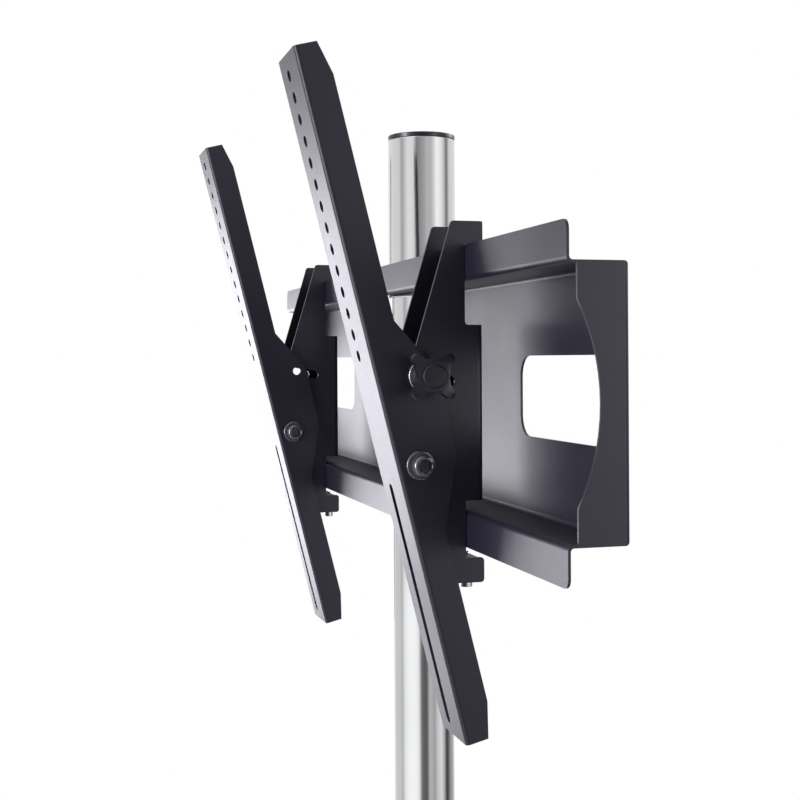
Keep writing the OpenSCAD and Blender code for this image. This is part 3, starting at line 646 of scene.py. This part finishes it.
class STAND_OT_base(StandOperator, bpy.types.Operator):
    """Turns the rubber glides and the countersunk screws under the floor plate."""

    bl_idname = "stand.base"
    bl_label = "Glides and base screws"

    glide_r = 0.02
    hollow_depth = 0.0012
    groove_depth = 0.0008
    # Where the three grooves under a glide start, as shares of its radius.
    grooves = (0.45, 0.62, 0.79)
    screw_r = 0.005
    head_h = 0.005
    head_edge = 0.0003
    socket_flats = 0.003
    socket_depth = 0.0028
    socket_lead = 0.0004
    tip = 0.0006

    def glides(self):
        """Four round glides with a small hollow in the middle and three grooves underneath."""
        size = span("base_glides")
        radius = self.glide_r
        rings = [(radius * 0.22, self.hollow_depth), (radius * 0.3, 0.0)]
        for share in self.grooves:
            rings += [
                (radius * share, 0.0), (radius * (share + 0.02), self.groove_depth),
                (radius * (share + 0.05), self.groove_depth), (radius * (share + 0.07), 0.0),
            ]
        rings += rounded_wall(radius, size.z, size.z / 4)
        bm = bmesh.new()
        for spot in four_spots("base_glides", 2, (size.x / 2 - radius, size.y / 2 - radius)):
            turned(bm, rings, Matrix.Translation(spot), self.sizes.round_sides)
        piece("rubber_glides", bm, rubber(), "rubber", "base_glides")

    def screws(self):
        """Four countersunk screws with their heads down."""
        size = span("base_bolts")
        head_r = self.screw_r * 2
        reach = size.x / 2 - head_r
        rings = socket_down(self.socket_flats, self.socket_depth, self.socket_lead) + [
            (head_r - self.head_edge, 0.0), (head_r, self.head_edge), (self.screw_r, self.head_h),
            (self.screw_r, size.z - self.tip), (self.screw_r - self.tip, size.z),
        ]
        bm = bmesh.new()
        for spot in four_spots("base_bolts", 2, (reach, reach)):
            turned(bm, rings, Matrix.Translation(spot), self.sizes.round_sides)
        piece("base_screws", bm, blackened(), "black_bolts", "base_bolts")

    def execute(self, context):
        self.glides()
        self.screws()
        return {"FINISHED"}


class STAND_OT_clamp_screws(StandOperator, bpy.types.Operator):
    """Turns the hexagon bolts of the column clamp and the domed bolts of the crossbeam."""

    bl_idname = "stand.clamp_screws"
    bl_label = "Clamp and beam bolts"

    bolt_r = 0.004
    head_flats = 0.0065
    head_h = 0.00528
    mark_depth = 0.0004
    nut_h = 0.00648
    dome_r = 0.008
    dome_h = 0.0037
    # How far a bolt stands out of its nut, and how far its thread runs on inside the nut's seat.
    tip = 0.0032
    hex_run = 0.004
    dome_run = 0.002
    pitch = 0.00125
    row_pitch = 0.05

    @property
    def corner(self):
        """Half the width across corners of the heads and nuts."""
        return self.head_flats / math.cos(HEX_TURN)

    def four(self, bm, rings, node, outer_r, turn=0.0, bore=False):
        """Adds four turned shapes along Y, the outermost of which end at the sides of the node."""
        reach = (span(node).x / 2 - outer_r, self.row_pitch / 2)
        for spot in four_spots(node, 1, reach):
            turned(bm, rings, facing(spot, (0, 1, 0), turn), self.sizes.round_sides, bore)

    def shank(self, total, run):
        """Rings of a bolt behind its head: a plain stretch, a thread and the cut tip."""
        start = total - self.nut_h - self.tip - run
        turns = thread(
            self.bolt_r, self.sizes.thread_depth, start, total - TIP_HEIGHT, self.pitch)
        return [(self.bolt_r, start)] + turns + [(self.bolt_r - TIP_CUT, total)]

    def hex_bolts(self):
        face = self.head_flats * 0.96
        chamfer = self.head_flats * 0.09
        rings = [
            (face * 0.6, self.mark_depth), (face * 0.66, 0.0), (face, 0.0),
            (self.head_flats, chamfer, 6), (self.head_flats, self.head_h, 6),
            (self.bolt_r, self.head_h),
        ] + self.shank(span("clamp_bolts").y, self.hex_run)
        bm = bmesh.new()
        self.four(bm, rings, "clamp_bolts", self.corner, HEX_TURN)
        piece("clamp_hex_bolts", bm, blackened(), "black_bolts", "clamp_bolts")

    def dome_bolts(self):
        rings = turned_over(dome(self.dome_r, self.dome_h, 0.0), self.dome_h) + [
            (self.dome_r, self.dome_h), (self.bolt_r, self.dome_h),
        ] + self.shank(span("beam_bolts").y, self.dome_run)
        bm = bmesh.new()
        self.four(bm, rings, "beam_bolts", self.dome_r)
        piece("beam_dome_bolts", bm, blackened(), "black_bolts", "beam_bolts")

    def nuts(self, node, name):
        rings = nut_rings(
            self.bolt_r + BORE_ROOM, self.head_flats, self.nut_h, self.sizes.rim_edge)
        bm = bmesh.new()
        self.four(bm, rings, node, self.corner, HEX_TURN, bore=True)
        piece(name, bm, blackened(), "black_bolts", node)

    def execute(self, context):
        self.hex_bolts()
        self.dome_bolts()
        self.nuts("clamp_nuts", "clamp_hex_nuts")
        self.nuts("beam_nuts", "beam_hex_nuts")
        return {"FINISHED"}


class STAND_OT_pivots(StandOperator, bpy.types.Operator):
    """Turns the pivot bolts with their sockets, washers, spacers and nuts."""

    bl_idname = "stand.pivots"
    bl_label = "Pivot bolts"

    bolt_r = 0.006
    head_h = 0.012
    shoulder = 0.0034
    socket_flats = 0.005
    socket_depth = 0.006
    socket_lead = 0.0006
    washer_t = 0.0025
    washer_shoulder = 0.0018
    nut_h = 0.012
    pitch = 0.00175

    def bolt(self, side):
        """A screw with a rounded head. Height 0 is the seat of its head."""
        node = f"pivot_bolt_{side}"
        low, high = (Vector(corner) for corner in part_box(node))
        head_r = (high.z - low.z) / 2
        seat = high.x - self.head_h
        length = seat - low.x
        start = self.nut_h + self.washer_t - length
        edge = self.sizes.rim_edge
        rings = [
            (self.socket_flats, self.head_h - self.socket_depth, 6),
            (self.socket_flats, self.head_h - self.socket_lead, 6),
        ]
        rings += reversed(round_over(head_r, self.head_h, self.shoulder))
        rings += [
            (head_r, edge), (head_r - edge, 0.0), (self.bolt_r, 0.0), (self.bolt_r, start)]
        rings += reversed(thread(
            self.bolt_r, self.sizes.thread_depth, TIP_HEIGHT - length, start, self.pitch))
        rings.append((self.bolt_r - TIP_CUT, -length))
        bm = bmesh.new()
        place = facing((seat, middle(node).y, middle(node).z), (1, 0, 0))
        turned(bm, rings, place, self.sizes.round_sides)
        piece(f"pivot_screw_{side}", bm, blackened(), "black_bolts", node)

    def washers(self, side):
        """The washers under the head and the nut, each with its rounded shoulder outwards."""
        node = f"pivot_washers_{side}"
        low, high = (Vector(corner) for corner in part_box(node))
        radius = (high.z - low.z) / 2
        bore = self.bolt_r + BORE_ROOM
        rings = [(bore, 0.0)] + low_edge(radius, self.sizes.rim_edge)
        rings += round_over(radius, self.washer_t, self.washer_shoulder)
        rings.append((bore, self.washer_t))
        bm = bmesh.new()
        for x, way in ((low.x + self.washer_t, -1), (high.x - self.washer_t, 1)):
            place = facing((x, middle(node).y, middle(node).z), (way, 0, 0))
            turned(bm, rings, place, self.sizes.round_sides, bore=True)
        piece(f"pivot_rings_{side}", bm, blackened(), "black_bolts", node)

    def nut(self, side):
        node = f"pivot_nut_{side}"
        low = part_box(node)[0]
        flats = span(node).y / 2
        rings = nut_rings(self.bolt_r + BORE_ROOM, flats, self.nut_h, self.sizes.rim_edge)
        bm = bmesh.new()
        place = facing((low[0], middle(node).y, middle(node).z), (1, 0, 0), HEX_TURN)
        turned(bm, rings, place, self.sizes.round_sides, bore=True)
        piece(f"pivot_hex_nut_{side}", bm, zinc(), "zinc_bolts", node)

    def spacer(self, side):
        node = f"pivot_spacer_{side}"
        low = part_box(node)[0]
        size = span(node)
        bm = bmesh.new()
        place = facing((low[0], middle(node).y, middle(node).z), (1, 0, 0))
        rings = washer_rings(self.bolt_r + BORE_ROOM, size.z / 2, size.x, self.sizes.rim_edge)
        turned(bm, rings, place, self.sizes.round_sides, bore=True)
        piece(f"pivot_tube_{side}", bm, zinc(), "zinc_bolts", node)

    def execute(self, context):
        for side in SIDES:
            self.bolt(side)
            self.washers(side)
            self.nut(side)
            self.spacer(side)
        return {"FINISHED"}


class STAND_OT_safety_screws(StandOperator, bpy.types.Operator):
    """Turns the locking screws under the hooks and the nuts that hold them."""

    bl_idname = "stand.safety_screws"
    bl_label = "Locking screws"

    screw_r = 0.003
    head_h = 0.0072
    socket_flats = 0.0025
    socket_depth = 0.003
    socket_lead = 0.0003
    tip_height = 0.0008
    tip_cut = 0.001
    pitch = 0.001

    def screw(self, side):
        """A screw with its head down."""
        node = f"safety_screw_{side}"
        low, high = (Vector(corner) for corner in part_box(node))
        length = high.z - low.z
        head_r = (high.x - low.x) / 2
        rings = socket_down(self.socket_flats, self.socket_depth, self.socket_lead)
        rings += low_edge(head_r, self.sizes.rim_edge)
        rings += [(head_r, self.head_h), (self.screw_r, self.head_h)]
        rings += thread(
            self.screw_r, self.sizes.thread_depth * 0.8, self.head_h, length - self.tip_height,
            self.pitch)
        rings.append((self.screw_r - self.tip_cut, length))
        bm = bmesh.new()
        spot = (middle(node).x, middle(node).y, low.z)
        turned(bm, rings, Matrix.Translation(spot), self.sizes.round_sides)
        piece(f"locking_screw_{side}", bm, zinc(), "zinc_bolts", node)

    def nut(self, side):
        node = f"safety_nut_{side}"
        size = span(node)
        rings = nut_rings(self.screw_r + BORE_ROOM, size.y / 2, size.z, self.sizes.rim_edge)
        bm = bmesh.new()
        spot = (middle(node).x, middle(node).y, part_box(node)[0][2])
        turned(bm, rings, facing(spot, (0, 0, 1), HEX_TURN), self.sizes.round_sides, bore=True)
        piece(f"locking_nut_{side}", bm, zinc(), "zinc_bolts", node)

    def execute(self, context):
        for side in SIDES:
            self.screw(side)
            self.nut(side)
        return {"FINISHED"}


class STAND_OT_knob(StandOperator, bpy.types.Operator):
    """Finishes the hand knob with its cap, washer and insert, and the bolt that it clamps."""

    bl_idname = "stand.knob"
    bl_label = "Hand knob"

    bolt_r = 0.004

    def execute(self, context):
        edge = self.sizes.knob_edge
        piece(
            "hand_knob", rounded_copy("tilt_knob", edge, 4), plastic(), "black_plastic", "tilt_knob")
        piece(
            "hand_knob_cap", rounded_copy("knob_cap", edge / 2, 3), plastic(), "black_plastic",
            "knob_cap")
        piece("clamp_stud", rounded_copy("tilt_bolt", edge / 3), zinc(), "zinc_bolts", "tilt_bolt")

        low, high = (Vector(corner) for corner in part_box("knob_washer"))
        rings = washer_rings(
            self.bolt_r + BORE_ROOM, (high.z - low.z) / 2, high.x - low.x, self.sizes.rim_edge)
        bm = bmesh.new()
        place = facing((low.x, middle("knob_washer").y, middle("knob_washer").z), (1, 0, 0))
        turned(bm, rings, place, self.sizes.round_sides, bore=True)
        piece("hand_knob_washer", bm, zinc(), "zinc_bolts", "knob_washer")

        # Nothing shows of the insert, so the CAD piece itself gets its metal.
        insert = NODES["knob_insert"]
        insert.data.materials.clear()
        insert.data.materials.append(brass())
        return {"FINISHED"}


# Studio


class STAND_OT_stage(StandOperator, bpy.types.Operator):
    """Makes the floor, the room, the lamps and the camera."""

    bl_idname = "stand.stage"
    bl_label = "Studio"

    floor_r = 2.6
    # What the floor gives off for the camera, besides what the lamps throw on it, to show white.
    floor_glow = 0.5
    # What shiny pieces see round them, above and below the level of the camera: brightness by the
    # angle in degrees from the way towards the camera, to the picture's right. There are pale
    # walls, a window on each side, a darker side behind the camera and narrow dark gaps. Places
    # and rounded values were set after how bright the stripes on the photo's column are.
    high_walls = (
        (-180, 0.9), (-145, 0.8), (-105, 0.7), (-85, 0.68), (-73, 0.36), (-50, 0.8), (-30, 0.76),
        (-18, 0.22), (0, 0.34), (10, 0.4), (16, 0.5), (30, 0.48), (42, 0.7), (52, 1.02),
        (68, 0.86), (82, 0.58), (91, 0.2), (97, 0.2), (108, 0.68), (135, 0.75), (180, 0.9),
    )
    low_walls = (
        (-180, 0.9), (-150, 0.75), (-133, 0.62), (-110, 0.64), (-92, 0.5), (-82, 0.86),
        (-63, 1.0), (-38, 1.03), (-22, 0.9), (-12, 0.16), (0, 0.11), (11, 0.11), (18, 0.5),
        (30, 0.46), (38, 0.35), (50, 0.6), (68, 0.78), (82, 0.4), (92, 0.04), (102, 0.08),
        (118, 0.33), (140, 0.48), (165, 1.0), (180, 0.9),
    )
    # Upward parts of a direction between which the low walls pass into the high ones.
    level = (-0.1, 0.02)
    # Name and setting of each lamp, its place, the point that it faces, its width and height, and
    # whether it is flagged off the polished tubes.
    lamps = (
        ("Top lamp", "top", (0.6, -1.6, 3.9), (0.0, 0.0, 1.2), (3.0, 3.0), False),
        ("Side lamp", "side", (-4.5, -1.15, 0.8), (0.0, 0.0, 1.1), (2.8, 1.7), True),
        ("Strip lamp", "strip", (0.75, -2.9, 1.6), (0.2, 0.0, 1.35), (0.8, 1.8), True),
        ("Right lamp", "right", (2.5, 1.7, 2.3), (0.2, 0.0, 1.35), (1.0, 1.2), True),
        ("Back lamp", "back", (-0.4, 2.8, 2.5), (0.2, 0.0, 1.3), (1.5, 1.5), True),
        ("End lamp", "end", (2.95, 1.75, 1.25), (0.4, 0.1, 1.3), (0.7, 1.2), True),
        ("Low lamp", "low", (-2.4, -0.7, 0.15), (0.2, 0.0, 1.05), (1.6, 0.4), True),
    )

    def floor(self):
        """A pale floor. Reflections pass it, so that the column mirrors the walls down to its foot."""
        bm = bmesh.new()
        bmesh.ops.create_circle(bm, cap_ends=True, segments=96, radius=self.floor_r)
        mesh = bpy.data.meshes.new("studio_floor")
        bm.to_mesh(mesh)
        bm.free()
        obj = bpy.data.objects.new("studio_floor", mesh)
        obj.visible_glossy = False
        bpy.context.scene.collection.objects.link(obj)
        material = bpy.data.materials.new("Pale floor")
        tree = Tree(material)
        place = tree.node("ShaderNodeTexCoord", output="Object")
        cloud = tree.range(tree.noise(place, 0.7, 2.0), 0.82, 0.85)
        paint = tree.node("ShaderNodeBsdfDiffuse", inputs={
            "Color": tree.tone((1.0, 1.0, 1.0), cloud)})
        seen = tree.node("ShaderNodeLightPath", output="Is Camera Ray")
        through = tree.node("ShaderNodeLightPath", output="Is Transmission Ray")
        glow = tree.node("ShaderNodeEmission", inputs={
            "Color": (1.0, 1.0, 1.0, 1.0), "Strength": (seen + through) * self.floor_glow})
        both = tree.node("ShaderNodeAddShader", inputs={0: paint, 1: glow})
        tree.node("ShaderNodeOutputMaterial", inputs={"Surface": both})
        mesh.materials.append(material)

    def room(self, studio):
        """White for the camera, walls for reflections, and soft light from all sides for the rest."""
        world = bpy.data.worlds.new("Studio room")
        bpy.context.scene.world = world
        tree = Tree(world)
        way = tree.node("ShaderNodeTexCoord", output="Generated")
        x = tree.node("ShaderNodeSeparateXYZ", inputs={"Vector": way}, output="X")
        y = tree.node("ShaderNodeSeparateXYZ", inputs={"Vector": way}, output="Y")
        angle = tree.node("ShaderNodeMath", {"operation": "ARCTAN2"}, {0: y, 1: x})
        turn = (angle + studio.camera_turn) * (0.5 / math.pi) + 0.5
        wrapped = tree.node("ShaderNodeMath", {"operation": "FRACT"}, {0: turn})
        high, low = (
            tree.node(
                "ShaderNodeValToRGB", {"stops": [(0.5 + at / 360, value) for at, value in stops]},
                {"Fac": wrapped})
            for stops in (self.high_walls, self.low_walls))
        z = tree.node("ShaderNodeSeparateXYZ", inputs={"Vector": way}, output="Z")
        walls = tree.node("ShaderNodeMix", {"data_type": "RGBA"}, {
            0: tree.range(z, 0.0, 1.0, *self.level), 6: low, 7: high}, 2)
        seen = tree.node("ShaderNodeLightPath", output="Is Camera Ray")
        through = tree.node("ShaderNodeLightPath", output="Is Transmission Ray")
        glossy = tree.node("ShaderNodeLightPath", output="Is Glossy Ray")
        soft = tree.node("ShaderNodeBackground", inputs={
            "Color": (*studio.light, 1.0), "Strength": studio.room})
        shine = tree.node("ShaderNodeBackground", inputs={"Color": walls, "Strength": 1.0})
        white = tree.node("ShaderNodeBackground", inputs={
            "Color": (1.0, 1.0, 1.0, 1.0), "Strength": 1.0})
        mixed = tree.node("ShaderNodeMixShader", inputs={0: glossy, 1: soft, 2: shine})
        shown = tree.node("ShaderNodeMixShader", inputs={0: seen + through, 1: mixed, 2: white})
        tree.node("ShaderNodeOutputWorld", inputs={"Surface": shown})

    def lamp(self, studio, name, setting, place, target, size, flagged):
        """A soft lamp. One that is flagged off the polished tubes lights all the other pieces."""
        light = bpy.data.lights.new(name, "AREA")
        light.shape = "RECTANGLE"
        light.size, light.size_y = size
        light.energy = getattr(studio, setting)
        light.color = studio.light
        obj = bpy.data.objects.new(name, light)
        bpy.context.scene.collection.objects.link(obj)
        if flagged:
            tubes = bpy.data.collections.new(f"{name} off")
            for tube in ("column_pole", "column_sleeve"):
                tubes.objects.link(bpy.data.objects[tube])
            for held in tubes.collection_objects:
                held.light_linking.link_state = "EXCLUDE"
            obj.light_linking.receiver_collection = tubes
        obj.location = place
        aim = Vector(target) - Vector(place)
        obj.rotation_euler = aim.to_track_quat("-Z", "Y").to_euler()
        obj.visible_camera = False

    def camera(self, studio):
        data = bpy.data.cameras.new("Studio camera")
        data.lens = studio.lens
        data.sensor_width = 36.0
        data.shift_y = studio.camera_shift
        data.clip_start, data.clip_end = 0.05, 200.0
        obj = bpy.data.objects.new("Studio camera", data)
        bpy.context.scene.collection.objects.link(obj)
        turn = studio.camera_turn
        look = Vector((-math.cos(turn), math.sin(turn), 0.0))
        aim = look.to_track_quat("-Z", "Y").to_matrix()
        roll = Matrix.Rotation(studio.camera_roll, 3, look)
        obj.matrix_world = Matrix.Translation(studio.camera_place) @ (roll @ aim).to_4x4()
        bpy.context.scene.camera = obj

    def execute(self, context):
        studio = context.scene.stand_studio
        context.scene.view_settings.view_transform = "Standard"
        self.floor()
        self.room(studio)
        for lamp in self.lamps:
            self.lamp(studio, *lamp)
        self.camera(studio)
        return {"FINISHED"}


class STAND_PT_looks(bpy.types.Panel):
    """Lists the stand's pieces."""

    bl_idname = "STAND_PT_looks"
    bl_label = "Screen stand"
    bl_space_type = "VIEW_3D"
    bl_region_type = "UI"
    bl_category = "Stand"

    def draw(self, context):
        for operator in OPERATORS:
            self.layout.operator(operator.bl_idname)
        for group in ("stand_sizes", "stand_colours", "stand_studio"):
            box = self.layout.box()
            settings = getattr(context.scene, group)
            for key in settings.__annotations__:
                box.prop(settings, key)


OPERATORS = (
    STAND_OT_plates,
    STAND_OT_column,
    STAND_OT_base,
    STAND_OT_clamp_screws,
    STAND_OT_pivots,
    STAND_OT_safety_screws,
    STAND_OT_knob,
    STAND_OT_stage,
)
GROUPS = {"stand_sizes": StandSizes, "stand_colours": StandColours, "stand_studio": StandStudio}
CLASSES = (*GROUPS.values(), *OPERATORS, STAND_PT_looks)


def register():
    for cls in CLASSES:
        bpy.utils.register_class(cls)
    for name, group in GROUPS.items():
        setattr(bpy.types.Scene, name, bpy.props.PointerProperty(type=group))


def unregister():
    for name in GROUPS:
        delattr(bpy.types.Scene, name)
    for cls in reversed(CLASSES):
        bpy.utils.unregister_class(cls)


def main():
    register()
    for operator in OPERATORS:
        group, name = operator.bl_idname.split(".")
        getattr(getattr(bpy.ops, group), name)()


if __name__ == "__main__":
    main()
